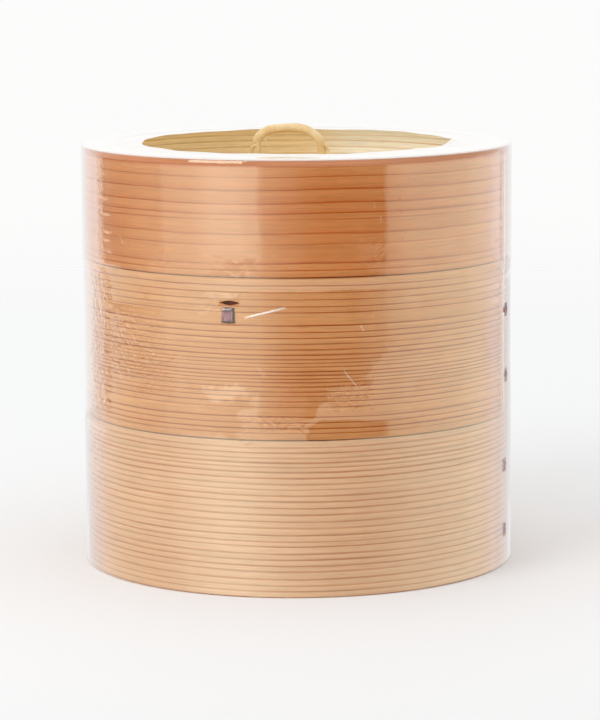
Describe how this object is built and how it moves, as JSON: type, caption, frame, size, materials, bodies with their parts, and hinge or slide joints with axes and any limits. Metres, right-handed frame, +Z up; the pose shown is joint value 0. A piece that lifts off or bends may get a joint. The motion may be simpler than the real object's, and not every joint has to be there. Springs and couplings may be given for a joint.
{
  "type": "bamboo steamer basket",
  "caption": "Round steamer of bent cedar hoops: nesting tiers with bamboo slat floors, a woven bamboo lid with a cane handle, bark-stitched laps and a clear shrink sleeve.",
  "frame": {"origin": "centre of the base, on the surface the steamer stands on", "axes": "+Z up along the hoops' common axis; -Y is the front, with the handle's arch facing it; the hoops' laps are on the +X side"},
  "size_m": [0.18, 0.18, 0.183],
  "materials": {
    "lid_cedar": "planed bent cedar heartwood, wide reddish growth bands, unvarnished",
    "upper_cedar": "planed bent cedar, fine straight growth lines, unvarnished",
    "lower_cedar": "planed bent cedar, even straight growth lines, pale, unvarnished",
    "inner_cedar": "planed pale cedar sapwood, unvarnished",
    "split_bamboo": "split bamboo, satin, with nodes and fibres",
    "woven_bamboo": "thin woven bamboo strips, satin",
    "cane": "peeled cane, satin",
    "cherry_bark": "cherry bark strip, dark red-brown with a silvery sheen",
    "clear_film": "clear shrink film, glossy, faintly wrinkled"
  },
  "bodies": {
    "lower_tier": {"lower_outer_hoop": "lower_cedar", "lower_inner_hoop": "inner_cedar", "lower_ledge_hoop": "inner_cedar", "lower_bar_front": "split_bamboo", "lower_bar_back": "split_bamboo", "lower_lap_stitch_high": "cherry_bark", "lower_lap_stitch_low": "cherry_bark", "lower_rim_stitch": "cherry_bark", "lower_slat_1": "split_bamboo", "lower_slat_2": "split_bamboo", "lower_slat_3": "split_bamboo", "lower_slat_4": "split_bamboo", "lower_slat_5": "split_bamboo", "lower_slat_6": "split_bamboo", "lower_slat_7": "split_bamboo", "lower_slat_8": "split_bamboo", "lower_slat_9": "split_bamboo", "lower_slat_10": "split_bamboo", "lower_slat_11": "split_bamboo", "lower_slat_12": "split_bamboo", "lower_slat_13": "split_bamboo", "lower_slat_14": "split_bamboo"},
    "upper_tier": {"upper_outer_hoop": "upper_cedar", "upper_inner_hoop": "inner_cedar", "upper_ledge_hoop": "inner_cedar", "upper_bar_front": "split_bamboo", "upper_bar_back": "split_bamboo", "upper_lap_stitch_high": "cherry_bark", "upper_lap_stitch_low": "cherry_bark", "upper_rim_stitch": "cherry_bark", "upper_slat_1": "split_bamboo", "upper_slat_2": "split_bamboo", "upper_slat_3": "split_bamboo", "upper_slat_4": "split_bamboo", "upper_slat_5": "split_bamboo", "upper_slat_6": "split_bamboo", "upper_slat_7": "split_bamboo", "upper_slat_8": "split_bamboo", "upper_slat_9": "split_bamboo", "upper_slat_10": "split_bamboo", "upper_slat_11": "split_bamboo", "upper_slat_12": "split_bamboo", "upper_slat_13": "split_bamboo", "upper_slat_14": "split_bamboo"},
    "lid": {"lid_outer_hoop": "lid_cedar", "lid_lining_hoop": "inner_cedar", "lid_seat_hoop": "inner_cedar", "lid_woven_top": "woven_bamboo", "lid_woven_lining": "woven_bamboo", "lid_top_batten": "split_bamboo", "lid_under_batten": "split_bamboo", "lid_handle": "cane", "handle_tie_left": "cane", "handle_tie_right": "cane", "lid_lap_stitch_high": "cherry_bark", "lid_lap_stitch_low": "cherry_bark", "lid_rim_stitch": "cherry_bark"},
    "sleeve": {"shrink_sleeve": "clear_film"}
  },
  "joints": [
    {"name": "upper_tier_lift", "type": "slide", "parent": "lower_tier", "child": "upper_tier", "axis": [0, 0, 1], "range_m": [0, 0.09]},
    {"name": "lid_lift", "type": "slide", "parent": "upper_tier", "child": "lid", "axis": [0, 0, 1], "range_m": [0, 0.09]},
    {"name": "sleeve_pull", "type": "slide", "parent": "lid", "child": "sleeve", "axis": [0, 0, 1], "range_m": [0, 0.195]}
  ]
}
